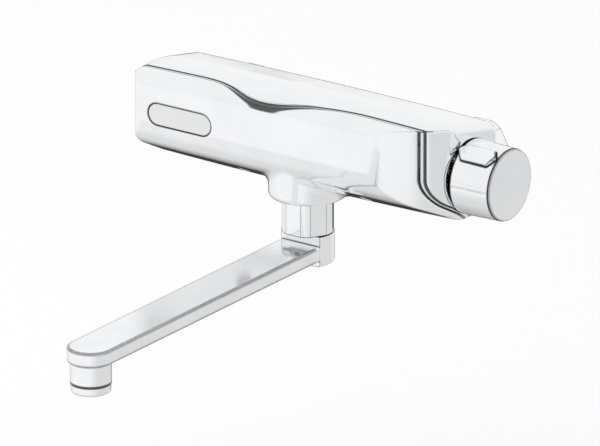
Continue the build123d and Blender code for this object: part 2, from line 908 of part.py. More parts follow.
def battery_contacts():
    top = battery_z[1] - 2.0
    middle_y = sum(battery_y) / 2
    return [
        block((x - 4, x + 4), (middle_y - 3, middle_y + 3), (top + 0.05, top + 0.55))
        for x in (battery_x[0] + 9, battery_x[1] - 9)
    ]


def battery_holder():
    """The moulded tub and clip that the battery slides into."""
    around = holder_wall + holder_gap
    x_range = (battery_x[0] - around, battery_x[1] + around)
    y_range = (battery_y[0] - around, battery_y[1] + around)
    tub = block(x_range, y_range, (battery_z[0] - around, battery_z[1]))
    tub = fillet(tub.edges().filter_by(Axis.Z), 6.0)
    room_x = (battery_x[0] - holder_gap, battery_x[1] + holder_gap)
    room_y = (battery_y[0] - holder_gap, battery_y[1] + holder_gap)
    room = block(room_x, room_y, (battery_z[0] - holder_gap, battery_z[1] - holder_wall))
    room = fillet(room.edges().filter_by(Axis.Z), 5.0)
    return tub - room


# The spout

spout_top_z = spout_nut_bottom_z - seat_gap
spout_base_bottom_z = spout_nut_bottom_z - spout_base_height
spout_base_radius = spout_nut_od / 2
arm_top_z = spout_nut_bottom_z - arm_top_drop
arm_bottom_z = arm_top_z - arm_height
outlet_y = swivel_y - spout_reach
base_front_y = swivel_y - sqrt(spout_base_radius**2 - (arm_width / 2) ** 2)
neck_radius = outlet_bore_radius - running_clearance
neck_bore_radius = 6.2
neck_flange_z = (spout_nut_bottom_z + 3.2, spout_nut_bottom_z + 5.2)
nut_lip_radius = 10.2
aerator_thread_radius = 9.4


def spout():
    """A flat bar arm on a round base, with a neck above and an outlet collar at its tip."""
    plan = Plane.XY * Pos(0, (base_front_y + outlet_y) / 2) * Rectangle(arm_width, base_front_y - outlet_y)
    plan += Pos(0, outlet_y) * Circle(arm_width / 2)
    arm = Pos(0, 0, arm_bottom_z) * extrude(plan, arm_height)
    long_edges = [
        edge
        for edge in arm.edges().filter_by(Plane.XY)
        if edge.center().Y < base_front_y - 1
    ]
    arm = fillet(long_edges, arm_edge)
    base = rod_z(spout_base_radius, spout_base_bottom_z, spout_top_z, 0, swivel_y)
    base = fillet(base.edges().group_by(Axis.Z)[0], 1.6)
    base -= block((-far, far), (-far, base_front_y), (-far, far))
    overlap = block(
        (-arm_width / 2, arm_width / 2), (base_front_y - 3, swivel_y), (arm_bottom_z, arm_top_z)
    )
    overlap = fillet(overlap.edges().filter_by(Axis.Y), arm_edge)
    shape = base + arm + (overlap & rod_z(spout_base_radius + 5, -far, 0, 0, swivel_y))
    shape += rod_z(outlet_radius, arm_bottom_z - outlet_height, arm_bottom_z + 1, 0, outlet_y)
    shape += rod_z(nut_lip_radius - 0.2, spout_top_z - 1, neck_flange_z[1], 0, swivel_y)
    shape += rod_z(spout_nut_od / 2 - 2.2, *neck_flange_z, 0, swivel_y)
    shape += rod_z(neck_radius, neck_flange_z[0], neck_top_z, 0, swivel_y)
    for place in neck_seal_places:
        groove = rod_z(far, place - 1.0, place + 1.0, 0, swivel_y)
        groove -= rod_z(neck_radius - 1.5, place - 2, place + 2, 0, swivel_y)
        shape -= groove
    shape -= rod_z(neck_bore_radius, arm_bottom_z + arm_wall, 0, 0, swivel_y)
    channel = block(
        (-arm_width / 2 + 3, arm_width / 2 - 3),
        (outlet_y, swivel_y),
        (arm_bottom_z + arm_wall, arm_top_z - arm_wall),
    )
    shape -= channel
    shape -= rod_z(7.5, arm_bottom_z - outlet_height, arm_top_z - arm_wall, 0, outlet_y)
    shape -= rod_z(aerator_thread_radius, -far, arm_bottom_z - 3.0, 0, outlet_y)
    return shape


neck_top_z = outlet_neck_bottom_z + 14.0
neck_seal_places = (outlet_neck_bottom_z + 5.0, outlet_neck_bottom_z + 10.5)


def neck_seals():
    return [Pos(0, swivel_y, 0) * rounded_ring(neck_radius - 0.74, 1.5, z) for z in neck_seal_places]


def slip_ring():
    """The plastic ring that the spout's flange turns against."""
    low = neck_flange_z[1] + 0.1
    high = outlet_neck_bottom_z - 0.1
    ring = rod_z(outlet_boss_radius - 0.6, low, high, 0, swivel_y)
    return ring - rod_z(neck_radius + 0.1, -far, far, 0, swivel_y)


def spout_nut():
    """The faceted nut that holds the spout up and lets it turn."""
    top = collar_bottom_z + 1.5
    nut = hexagon_bar(spout_nut_flats, spout_nut_od, spout_nut_bottom_z, top)
    nut -= rod_z(nut_lip_radius, -far, far)
    nut -= rod_z(outlet_boss_radius + 0.1, spout_nut_bottom_z + 3.0, far)
    return Pos(0, swivel_y, 0) * nut


aerator_bottom_z = arm_bottom_z - outlet_height - aerator_height


def aerator_housing():
    top = arm_bottom_z - outlet_height - 0.1
    shape = turned(
        (7.9, aerator_bottom_z),
        (outlet_radius - 0.9, aerator_bottom_z),
        (outlet_radius - 0.35, aerator_bottom_z + 0.8),
        (outlet_radius - 0.2, top),
        (aerator_thread_radius - running_clearance, top),
        (aerator_thread_radius - running_clearance, arm_bottom_z - 5.0),
        (8.6, arm_bottom_z - 5.0),
        (8.6, aerator_bottom_z + 1.0),
        (7.9, aerator_bottom_z + 1.0),
    )
    return Pos(0, outlet_y, 0) * shape


def aerator_mesh():
    """The honeycomb grid at the mouth."""
    low = aerator_bottom_z + 1.1
    grid = rod_z(8.5, low, low + 1.6)
    pitch = 2.6
    cells = [
        Pos(column * pitch + (row % 2) * pitch / 2, row * pitch * sqrt(3) / 2)
        for row in range(-2, 3)
        for column in range(-2, 3)
        if (column * pitch + (row % 2) * pitch / 2) ** 2 + (row * pitch) ** 2 * 0.75 < 6.6**2
    ]
    hole = extrude(RegularPolygon(1.1, 6), 4)
    grid -= [cell * Pos(0, 0, low - 1) * hole for cell in cells]
    return Pos(0, outlet_y, 0) * grid


def aerator_insert():
    low = aerator_bottom_z + 2.8
    shape = turned((0, low + 3.0), (3.2, low + 3.0), (3.2, low + 6.0), (0, low + 6.5))
    shape += rod_z(8.5, low, low + 7.5) - rod_z(7.0, low - 1, low + 9)
    web = block((-7.4, 7.4), (-0.5, 0.5), (low + 2.0, low + 4.0))
    shape += web + Rot(0, 0, 90) * web
    return Pos(0, outlet_y, 0) * shape


def aerator_washer():
    low = arm_bottom_z - 4.9
    ring = rod_z(aerator_thread_radius - 0.2, low, low + 1.8) - rod_z(7.6, low - 1, low + 3)
    return Pos(0, outlet_y, 0) * ring


# Building and writing every sub-part

os.makedirs("parts", exist_ok=True)


def on_knob_axis(shape):
    return lie_along_x(shape, y=knob_axis_y)


def on_solenoid_axis(shape):
    return lie_along_x(shape, y=solenoid_y)


left_inlet_x = -inlet_pitch / 2
right_inlet_x = inlet_pitch / 2

save("valve_body", valve_body())
save("rear_casing", rear_casing())
save("front_cover", front_cover())
save("seam_strip", seam_strip())

save("sensor_window", (casing_form(window_recess) - inner_room) & window_prism(0.0))
save("sensor_housing", sensor_housing())
save("sensor_board", sensor_board())
save("infrared_diodes", *[infrared_diode(x) for x in diode_places])
save("battery", battery())
save("battery_contacts", *battery_contacts())
save("battery_holder", battery_holder())

save("diaphragm", on_solenoid_axis(diaphragm()))
save("solenoid_bonnet", on_solenoid_axis(solenoid_bonnet()))
save("solenoid_plunger", on_solenoid_axis(solenoid_plunger()))
spring_end_x = plunger_start_x - 0.1 - plunger_travel
save("plunger_spring", on_solenoid_axis(plain_spring(2.4, 3.4, coil_start_x - 1.4, spring_end_x)))
save("solenoid_coil", on_solenoid_axis(solenoid_coil()))

for side, x in (("left", left_inlet_x), ("right", right_inlet_x)):
    save(f"{side}_inlet_tail", lie_along_y(inlet_tail(), x))
    save(f"{side}_union_nut", lie_along_y(union_nut(), x))
    save(f"{side}_check_poppet", lie_along_y(check_poppet(), x))
    spring = plain_spring(2.2, 3.2, check_back_y + 1.6, check_seat_y - 2.5 - check_travel)
    save(f"{side}_check_spring", lie_along_y(spring, x))
save("union_washers", *[lie_along_y(union_washer(), x) for x in (left_inlet_x, right_inlet_x)])
save("inlet_strainers", *[lie_along_y(strainer(), x) for x in (left_inlet_x, right_inlet_x)])
save("check_housings", *[lie_along_y(check_housing(), x) for x in (left_inlet_x, right_inlet_x)])

save("cartridge_sleeve", on_knob_axis(cartridge_sleeve()))
save("sleeve_seals", *[on_knob_axis(ring) for ring in sleeve_seals()])
save("thermostat_element", on_knob_axis(thermostat_element()))
save("regulating_piston", on_knob_axis(regulating_piston()))
save("return_spring", on_knob_axis(plain_spring(6.5, 8.0, cartridge_start_x + 2.6, piston_x[0] - 0.9)))
save("spindle", on_knob_axis(spindle()))
save("cartridge_nut", on_knob_axis(cartridge_nut()))
save("stop_ring", on_knob_axis(stop_ring()))

save("knob", on_knob_axis(knob()))
save("knob_cap", on_knob_axis(knob_cap()))
save("knob_screw", on_knob_axis(knob_screw()))
save("stop_button", on_knob_axis(stop_button()))
save("button_spring", on_knob_axis(button_spring()))

save("spout", spout())
save("neck_seals", *neck_seals())
save("slip_ring", slip_ring())
save("spout_nut", spout_nut())
save("aerator_housing", aerator_housing())
save("aerator_mesh", aerator_mesh())
save("aerator_insert", aerator_insert())
save("aerator_washer", aerator_washer())

cover_screw = cross_head_screw(screw_radius - 0.05, screw_length, screw_head_radius, screw_head_height)
save("cover_screws", *[Pos(x, screw_y, screw_seat_z - 0.02) * cover_screw for x in screw_places])
back_screw = lie_along_y(Rot(180, 0, 0) * cover_screw, 0, 0)
save("casing_screws", *[Pos(x, body_back_y + 0.02, back_screw_z) * back_screw for x in back_screw_places])
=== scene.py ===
# %% [markdown]
# # A touchless basin tap, finished in Blender
# The tap hangs on a bathroom wall. A sensor behind the window on its left opens the water, the knob on
# its right sets the temperature, and a long spout swings under its belly. The shapes come from a
# construction model. This script gives every piece the finish that it has in the bathroom: polished
# plating outside, and cast brass, moulded plastic, rubber and stainless steel inside. Then it sets a
# plain studio around the tap.
#
# Everything is in metres, in the frame of the construction model: X runs along the body towards the
# temperature knob, Y towards the wall, and Z up.

import json
import math

import bpy
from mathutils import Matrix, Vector


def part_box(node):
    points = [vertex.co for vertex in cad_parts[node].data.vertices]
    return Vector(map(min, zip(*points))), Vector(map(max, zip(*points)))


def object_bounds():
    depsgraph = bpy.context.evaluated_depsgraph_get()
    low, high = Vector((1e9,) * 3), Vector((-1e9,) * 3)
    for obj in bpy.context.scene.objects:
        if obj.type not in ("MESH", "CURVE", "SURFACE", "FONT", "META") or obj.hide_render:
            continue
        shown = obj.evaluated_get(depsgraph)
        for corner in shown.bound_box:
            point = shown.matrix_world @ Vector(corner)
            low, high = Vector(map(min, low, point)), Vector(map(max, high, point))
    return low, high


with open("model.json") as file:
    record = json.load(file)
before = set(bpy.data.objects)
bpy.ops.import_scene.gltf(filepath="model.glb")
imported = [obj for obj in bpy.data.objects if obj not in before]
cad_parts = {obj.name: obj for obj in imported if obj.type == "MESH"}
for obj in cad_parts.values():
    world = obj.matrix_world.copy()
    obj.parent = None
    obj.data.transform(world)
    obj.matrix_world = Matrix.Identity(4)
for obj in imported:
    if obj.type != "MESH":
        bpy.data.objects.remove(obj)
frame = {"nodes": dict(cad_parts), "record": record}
cad_low, cad_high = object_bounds()
nodes = frame["nodes"]
MM = 0.001
print("pieces in the construction model:", len(nodes))

# %% [markdown]
# ## The camera
# The picture is a parallel projection, like a drawing in a manual. Blender has an orthographic camera for
# that, but other views of this model are framed by a lens angle. A very long lens far away gives nearly
# parallel rays and keeps a lens angle, so that is what is used. The field is as wide as the picture
# shows at the tap, and the camera looks at the middle of that field.

# %% A long lens far away
VIEW_AZIMUTH = math.radians(35.2)
VIEW_ELEVATION = math.radians(20.2)
FIELD_WIDTH = 322.6 * MM
LENS = 1200.0
SENSOR = 36.0
look_at = Vector((0.0, -65.6, -40.9)) * MM
towards_camera = Vector((
    math.sin(VIEW_AZIMUTH) * math.cos(VIEW_ELEVATION),
    -math.cos(VIEW_AZIMUTH) * math.cos(VIEW_ELEVATION),
    math.sin(VIEW_ELEVATION),
))
camera_distance = FIELD_WIDTH * LENS / SENSOR

camera_data = bpy.data.cameras.new("camera")
camera_data.lens = LENS
camera_data.sensor_width = SENSOR
camera_data.clip_end = camera_distance * 3
camera = bpy.data.objects.new("camera", camera_data)
camera.location = look_at + towards_camera * camera_distance
camera.rotation_mode = "QUATERNION"
camera.rotation_quaternion = (-towards_camera).to_track_quat("-Z", "Y")
bpy.context.scene.collection.objects.link(camera)
bpy.context.scene.camera = camera
print("camera distance:", round(camera_distance, 2), "m")

# %% [markdown]
# ## Writing shader maths as Python
# A finish is a graph of nodes. The graph could be drawn by hand in the shader editor, or made in code with
# a line for each node and each link, but both are slow to read. So one small class wraps a node's output,
# and plain expressions such as 1 - mask * 0.3 add the Math nodes that they need.


# %% A value in a shader
class Value:
    """One output of a shader node. Expressions on it add Math nodes."""

    def __init__(self, graph, socket):
        self.graph = graph
        self.socket = socket

    def math(self, operation, *inputs):
        """A Math node on the inputs."""
        return self.graph.node("ShaderNodeMath", {"operation": operation}, dict(enumerate(inputs)))["Value"]

    def __add__(self, other):
        return self.math("ADD", self, other)

    def __sub__(self, other):
        return self.math("SUBTRACT", self, other)

    def __rsub__(self, other):
        return self.math("SUBTRACT", other, self)

    def __mul__(self, other):
        return self.math("MULTIPLY", self, other)

    def clamped(self):
        """The value, kept from 0 to 1."""
        return self.math("MINIMUM", self.math("MAXIMUM", self, 0.0), 1.0)

    __radd__ = __add__
    __rmul__ = __mul__


print("a shader value takes + - * and clamped()")

# %% [markdown]
# ## Every other node
# Maths is only part of a finish. Noise, colours and the shader itself are nodes too, and each has its own
# settings and sockets. One method makes any of them, and a few short ones on top of it name what they are
# for here: a colour between two colours, a place on the piece, soft noise, and a value stretched to run
# from 0 to 1. Noise is read at a point's place on its own piece, so it stays there when the piece moves.


# %% A graph and its nodes
class Graph:
    """The nodes of a material or of the world."""

    def __init__(self, owner):
        self.owner = owner
        owner.use_nodes = True
        self.tree = owner.node_tree
        self.tree.nodes.clear()

    def node(self, kind, settings=None, sockets=None):
        """Adds a node, makes its settings, fills its sockets, and gives its outputs by name."""
        made = self.tree.nodes.new(kind)
        for name, setting in (settings or {}).items():
            setattr(made, name, setting)
        for name, value in (sockets or {}).items():
            if isinstance(value, Value):
                self.tree.links.new(value.socket, made.inputs[name])
            else:
                made.inputs[name].default_value = value
        return {output.name: Value(self, output) for output in made.outputs if output.enabled}

    def mix(self, share, first, second):
        """A colour between two colours."""
        return self.node("ShaderNodeMix", {"data_type": "RGBA"}, {0: share, 6: first, 7: second})["Result"]

    def place(self):
        """Where a point is on its piece at rest, along each axis."""
        spot = self.node("ShaderNodeTexCoord")["Object"]
        return self.node("ShaderNodeSeparateXYZ", None, {"Vector": spot})

    def noise(self, spots, detail, roughness=0.5, stretch=(1, 1, 1)):
        """Soft noise, with so many spots for each metre, stretched along the axes if asked."""
        spot = self.node("ShaderNodeTexCoord")["Object"]
        spot = self.node("ShaderNodeVectorMath", {"operation": "MULTIPLY"}, {0: spot, 1: stretch})["Vector"]
        texture = {"Vector": spot, "Scale": spots, "Detail": detail, "Roughness": roughness}
        return self.node("ShaderNodeTexNoise", {"noise_dimensions": "3D"}, texture)["Fac"]

    def spread(self, value, low, high):
        """The value stretched, so that low becomes 0 and high becomes 1."""
        sockets = {"Value": value, "From Min": low, "From Max": high}
        return self.node("ShaderNodeMapRange", {"clamp": True}, sockets)["Result"]


def rgba(red, green, blue):
    """A colour as a socket takes it, with full opacity."""
    return (red, green, blue, 1.0)


print("a graph's short methods: mix, place, noise and spread")

# %% [markdown]
# ## Masks that read the shape
# Shade gathers in gaps, and a polished edge is rounded. The finishes paint that shade into their colour in
# the gaps, and the platings also paint dark lines of shade along outer edges and creases. These places could
# be painted by hand, but every change of shape would spoil the painting. Two nodes read them from the shape
# itself.
# Ambient Occlusion looks outwards to find gaps, and inwards to find the outer edges of a piece. Bevel
# gives the direction that a surface would have with softer edges, and where that differs from the true
# direction, there is a crease.


# %% Gaps, rims and creases
class Shape(Graph):
    """A graph that can tell gaps, rims and creases."""

    def crevice(self, reach):
        """1 in the open and 0 deep in a gap narrower than about the reach."""
        settings = {"samples": 8, "only_local": False}
        return self.node("ShaderNodeAmbientOcclusion", settings, {"Distance": reach})["AO"]

    def inner(self, reach):
        """1 in the middle of a piece's face and 0 on its outer edges, over about the reach."""
        settings = {"samples": 8, "only_local": True, "inside": True}
        return self.node("ShaderNodeAmbientOcclusion", settings, {"Distance": reach})["AO"]

    def faces(self, reach, low=0.93, high=0.985):
        """1 on a smooth face and 0 on a crease, over about the reach."""
        soft = self.node("ShaderNodeBevel", {"samples": 8}, {"Radius": reach})["Normal"]
        true = self.node("ShaderNodeNewGeometry")["Normal"]
        same = self.node("ShaderNodeVectorMath", {"operation": "DOT_PRODUCT"}, {0: soft, 1: true})["Value"]
        return self.spread(same, low, high)


print("masks from the shape: crevice, inner and faces")

# %% [markdown]
# ## A finish
# Every piece of the tap shares one recipe. A principled shader gets a colour, a metalness and a roughness,
# and a bump node gives the fine relief. The bump can start from a Bevel node, so that an edge catches the
# light as a rounded edge does, without more faces in the mesh.


# %% The recipe for a finish
class Finish(Shape):
    """A material that ends in one principled shader."""

    def __init__(self, name):
        super().__init__(bpy.data.materials.new(name))

    def bump(self, height, distance, rounding=0.0):
        """Fine relief, on edges that look rounded by the rounding."""
        sockets = {"Height": height, "Distance": distance}
        if rounding:
            sockets["Normal"] = self.node("ShaderNodeBevel", {"samples": 6}, {"Radius": rounding})["Normal"]
        return self.node("ShaderNodeBump", None, sockets)["Normal"]

    def finish(self, **sockets):
        """Ends the graph and gives its material. Socket names are written with underscores for spaces."""
        named = {name.replace("_", " "): value for name, value in sockets.items()}
        shader = self.node("ShaderNodeBsdfPrincipled", None, named)["BSDF"]
        self.node("ShaderNodeOutputMaterial", None, {"Surface": shader})
        return self.owner


print("a finish adds bump and finish")

# %% [markdown]
# ## Polished plating
# The shells, the knob, the spout and the nuts are plated. Plating is a mirror, but never a perfect one:
# the polished skin under it has long soft waves, and hands leave films that blur the reflection in
# patches. The waves go into the bump and the films into the roughness, and the colour is a cool pale grey.
#
# The picture draws this tap with thin dark lines. Here they are painted shade along the gaps, the creases
# and the outer rims. They stand in for the shade in the gaps and the dark reflections at the edges of real
# plating. Reflections alone would lose them in a white studio, so all three masks darken the colour. How
# wide a line gets depends on the piece: a thin wall needs a short reach, because the mask that looks inwards
# would find its other side.

# %% Plating
PLATING_COLOUR = (0.86, 0.865, 0.875)
# Painted shade: the colour of the dark lines in gaps, on creases and on outer rims.
PAINTED_LINE_SHADE = rgba(0.035, 0.036, 0.04)
PAINTED_LINE_STRENGTH = 0.92
GAP_REACH = 1.6 * MM
CREASE_REACH = 0.7 * MM
FILM_SPOTS, FILM_BLUR, FILM_LIGHTER = 38, 0.05, 1.04
WIPE_SPOTS, WIPE_BLUR = 260, 0.03
WAVE_SPOTS, WAVE_HEIGHT = 55, 0.02 * MM
PEEL_SPOTS, PEEL_SHARE = 1100, 0.03


def plating(
    name, gloss=0.06, rounding=1.0 * MM, crease=(0.95, 0.99), rim=(1.1 * MM, 0.62, 0.88), smooth=None
):
    """Mirror plating with painted shade on gaps, creases and rims. A rim is a reach, and where its mask
    becomes 0 and 1; smooth takes rims away.
    """
    finish = Finish(name)
    films = finish.spread(finish.noise(FILM_SPOTS, detail=4.0), 0.38, 0.68)
    wipes = finish.noise(WIPE_SPOTS, detail=3.0, roughness=0.6, stretch=(0.25, 1, 1))
    wipes = finish.spread(wipes, 0.45, 0.8)
    waves = finish.noise(WAVE_SPOTS, detail=1.0)
    orange_peel = finish.noise(PEEL_SPOTS, detail=2.0)
    open_air = finish.spread(finish.crevice(GAP_REACH), 0.3, 0.85)
    reach, low, high = rim
    rims = finish.spread(finish.inner(reach), low, high)
    if smooth:
        rims = (rims + smooth(finish)).clamped()
    drawn = finish.faces(CREASE_REACH, *crease) * rims
    # Painted shade: the colour darkens towards the line shade in gaps, on creases and on outer rims.
    unshaded = open_air * (drawn * PAINTED_LINE_STRENGTH + (1 - PAINTED_LINE_STRENGTH))
    filmed = [min(1.0, part * FILM_LIGHTER) for part in PLATING_COLOUR]
    tint = finish.mix(films, rgba(*PLATING_COLOUR), rgba(*filmed))
    return finish.finish(
        Base_Color=finish.mix(unshaded, PAINTED_LINE_SHADE, tint),
        Metallic=1.0,
        Roughness=films * FILM_BLUR + wipes * WIPE_BLUR + gloss,
        Normal=finish.bump(waves + orange_peel * PEEL_SHARE, WAVE_HEIGHT, rounding),
    )


bright_plating = plating("bright_plating")
print("plating made:", bright_plating.name, "with", len(bright_plating.node_tree.nodes), "nodes")

# %% [markdown]
# ## Where no line belongs
# Two places are smooth on the real tap, although the masks find an edge there. One is the casing's right
# end, where the body is drawn in towards the knob in a soft blend. The other is the spout's root, where
# the wall of the waterway stands so near that the inward mask finds it. The mesh could get softer edges,
# but its shape belongs to the construction model. So each place gets a small mask of its own, from where
# a point is on its piece. The numbers are places in the construction model, in millimetres.

# %% Smooth places
UNDER_NUT = 4 * MM
ARM_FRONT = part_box("spout_nut")[0].y + UNDER_NUT


def drawn_in_end(finish):
    """1 on the casing's drawn-in end, in front of the seam and beyond it."""
    place = finish.place()
    x, y, z = place["X"], place["Y"], place["Z"]
    right_half = finish.spread(x, 48 * MM, 54 * MM) * finish.spread(z, 8 * MM, 12 * MM)
    beyond_seam = finish.spread(x, 88.8 * MM, 89.6 * MM) * finish.spread(y, -50 * MM, -54 * MM)
    front_face = finish.spread(y, -73.7 * MM, -74.5 * MM)
    return right_half * (beyond_seam + front_face).clamped()


def spout_root(finish):
    """1 on the spout's root and neck, behind the free part of the arm."""
    return finish.spread(finish.place()["Y"], ARM_FRONT - 0.5 * MM, ARM_FRONT)


print("the free part of the arm starts at y =", round(ARM_FRONT / MM, 1), "mm")

# %% [markdown]
# ## Plating for the casing, the spout and the nuts
# One plating would do for all, but light shows how each piece was polished. The casing is one large form
# with wide soft edges, so its edges look rounder and only its sharpest creases get a line. The spout is
# handled most and is a little duller. The nuts are thin and their flats meet at shallow angles, so their
# lines are fine, and their masks react to the smallest crease.

# %% Three more platings
casing_plating = plating("casing_plating", rounding=2.4 * MM, crease=(0.82, 0.92), smooth=drawn_in_end)
spout_plating = plating("spout_plating", gloss=0.13, rim=(1.5 * MM, 0.88, 1.0), smooth=spout_root)
nut_plating = plating("nut_plating", rounding=0.15 * MM, crease=(0.990, 0.9985), rim=(0.8 * MM, 0.60, 0.86))
print("plating made:", casing_plating.name, spout_plating.name, nut_plating.name)

# %% [markdown]
# ## Plain finishes
# Behind the plating are the pieces that do the work, and some of them show at the back and below: brass
# castings, steel strainers, rubber washers and plastic housings. Each could be a flat colour, but real
# surfaces are cloudy at the scale of a hand and grainy at the scale of a fingernail. So one recipe mixes
# two near colours with soft clouds, adds a fine grain to the roughness and the relief, and shades the gaps.

# %% The recipe for plain finishes
PLAIN_GAP_REACH = 1.5 * MM
GAP_SHADE = 0.3
CLOUD_SPOTS = 70
ROUGHNESS_SWING = 0.08
SWING_MIDDLE = 0.06


def plain(name, dark, light, roughness, metallic, grain, relief, coat=0.0):
    """A cloudy, grainy finish. The grain is in spots for each metre, and the relief in millimetres."""
    finish = Finish(name)
    cloud = finish.spread(finish.noise(CLOUD_SPOTS, detail=3.0), 0.35, 0.7)
    fine = finish.noise(grain, detail=2.0)
    open_air = finish.spread(finish.crevice(PLAIN_GAP_REACH), 0.2, 0.8)
    tint = finish.mix(cloud, rgba(*dark), rgba(*light))
    return finish.finish(
        Base_Color=finish.mix(open_air, rgba(*[part * GAP_SHADE for part in dark]), tint),
        Metallic=metallic,
        Roughness=cloud * ROUGHNESS_SWING + fine * ROUGHNESS_SWING + (roughness - SWING_MIDDLE),
        Coat_Weight=coat,
        Normal=finish.bump(fine, relief * MM),
    )


print("a plain finish swings its roughness by", ROUGHNESS_SWING)

# %% [markdown]
# ## Brass, steel and copper
# The valve body and the inlet tails are cast in brass, with a satin skin from the mould. The screws,
# strainers and springs are stainless steel, and the thermostat's element is a copper capsule. A metal is
# told from another by the colour of its reflections, so all three are fully metallic, and differ in
# colour, roughness and grain.

# %% Metals
cast_brass = plain(
    "cast_brass", dark=(0.60, 0.44, 0.20), light=(0.74, 0.57, 0.30),
    roughness=0.38, metallic=1.0, grain=1400, relief=0.03,
)
stainless = plain(
    "stainless", dark=(0.50, 0.50, 0.50), light=(0.64, 0.64, 0.64),
    roughness=0.28, metallic=1.0, grain=1200, relief=0.01,
)
copper_skin = plain(
    "copper_skin", dark=(0.62, 0.30, 0.18), light=(0.76, 0.42, 0.28),
    roughness=0.30, metallic=1.0, grain=900, relief=0.01,
)
print("metals made:", cast_brass.name, stainless.name, copper_skin.name)

# %% [markdown]
# ## Rubber and plastics
# Washers and seals are black rubber, the sensor's housing and the coil's jacket are black plastic, and
# the check valves and the aerator's mesh are pale plastic. Black is never quite black: rubber scatters
# light from a soft, dusty skin, and plastic keeps a faint gloss. Roughness makes that difference, more
# than colour does.

# %% Rubber and plastics
black_rubber = plain(
    "black_rubber", dark=(0.018, 0.018, 0.02), light=(0.035, 0.035, 0.038),
    roughness=0.62, metallic=0.0, grain=1500, relief=0.02,
)
black_plastic = plain(
    "black_plastic", dark=(0.02, 0.02, 0.022), light=(0.04, 0.04, 0.043),
    roughness=0.42, metallic=0.0, grain=1800, relief=0.02,
)
pale_plastic = plain(
    "pale_plastic", dark=(0.70, 0.70, 0.68), light=(0.80, 0.80, 0.78),
    roughness=0.40, metallic=0.0, grain=1500, relief=0.015,
)
print("rubber and plastics made:", black_rubber.name, black_plastic.name, pale_plastic.name)

# %% [markdown]
# ## The board, the battery and the sensor's eyes
# The sensor's board has a green lacquer, the battery is wrapped in a blue film, and the infrared eyes are
# dark lenses. All three have a clear layer over their colour. The principled shader has a coat for that,
# which is simpler than a second shader mixed on top.

# %% Coated pieces
board_lacquer = plain(
    "board_lacquer", dark=(0.02, 0.14, 0.05), light=(0.03, 0.22, 0.08),
    roughness=0.35, metallic=0.0, grain=900, relief=0.01, coat=0.5,
)
battery_film = plain(
    "battery_film", dark=(0.03, 0.10, 0.26), light=(0.05, 0.15, 0.36),
    roughness=0.25, metallic=0.0, grain=500, relief=0.01, coat=0.6,
)
dark_lens = plain(
    "dark_lens", dark=(0.02, 0.008, 0.02), light=(0.04, 0.015, 0.04),
    roughness=0.10, metallic=0.0, grain=600, relief=0.002, coat=1.0,
)
print("coated finishes made:", board_lacquer.name, battery_film.name, dark_lens.name)

# %% [markdown]
# ## The sensor window
# The window is a moulded plate, flush with the front cover, which lets infrared light through and hides the
# eyes behind it. It could be made see-through, but the picture draws it white with a dark outline, as a
# milky plate looks. So it is pale and smooth under a clear coat, and a dark line of painted shade runs along
# its edge, for the gap round it.

# %% Window plate
WINDOW_EDGE_SHADE = rgba(0.03, 0.03, 0.035)
WINDOW_SHADED = rgba(0.955, 0.96, 0.97)
WINDOW_BRIGHT = rgba(0.975, 0.98, 0.985)


def window_plate():
    """A milky plate under a clear coat, with painted shade along its edge."""
    finish = Finish("window_plate")
    cloud = finish.noise(30, detail=2.0)
    tint = finish.mix(cloud, WINDOW_SHADED, WINDOW_BRIGHT)
    return finish.finish(
        # Painted shade: the plate darkens towards its edge, for the gap round it.
        Base_Color=finish.mix(finish.faces(CREASE_REACH), WINDOW_EDGE_SHADE, tint),
        Roughness=cloud * 0.03 + 0.05,
        Coat_Weight=1.0,
        Coat_Roughness=0.03,
        Normal=finish.bump(finish.noise(40, detail=1.0), 0.01 * MM),
    )


milky_window = window_plate()
print("window made:", milky_window.name)

# %% [markdown]
# ## Which piece gets which finish
# The construction model says what each piece is made of, under a name for its material. One table turns
# those names into finishes, so that a new piece gets the right one by itself. A second table holds the
# few pieces with a plating of their own.

# %% Giving each piece its finish
finish_of_material = {
    "chrome_plate": bright_plating,
    "seam_trim": bright_plating,
    "brass": cast_brass,
    "stainless_steel": stainless,
    "copper": copper_skin,
    "grey_rubber": black_rubber,
    "black_plastic": black_plastic,
    "coil_jacket": black_plastic,
    "pale_plastic": pale_plastic,
    "board_green": board_lacquer,
    "battery_wrap": battery_film,
    "dark_lens": dark_lens,
    "smoked_window": milky_window,
}
finish_of_piece = {
    "front_cover": casing_plating,
    "rear_casing": casing_plating,
    "spout": spout_plating,
    "spout_nut": nut_plating,
    "left_union_nut": nut_plating,
    "right_union_nut": nut_plating,
}
for part in frame["record"]["subparts"]:
    name = part["node"]
    materials = nodes[name].data.materials
    materials.clear()
    materials.append(finish_of_piece.get(name, finish_of_material[part["material_slot"]]))

# %% [markdown]
# ## The floor
# The tap hangs on a wall, so the floor lies some way below it. It is a pale grey that takes a soft shadow.
# To look white in the picture it could get more light, but that light would bounce up onto the tap. So it
# gives off a little light of its own instead, and only for rays that come from the camera, off a mirror
# or through glass.

# %% Floor
FLOOR_DROP = 0.13
FLOOR_SIZE = 6.0
FLOOR_GREY = 0.70
FLOOR_GLOW = 0.36
floor_z = cad_low.z - FLOOR_DROP


def looked_at(graph):
    """1 for a ray that shows the surface itself, and 0 for one that only lights something."""
    ray = graph.node("ShaderNodeLightPath")
    return (ray["Is Camera Ray"] + ray["Is Glossy Ray"] + ray["Is Transmission Ray"]).clamped()


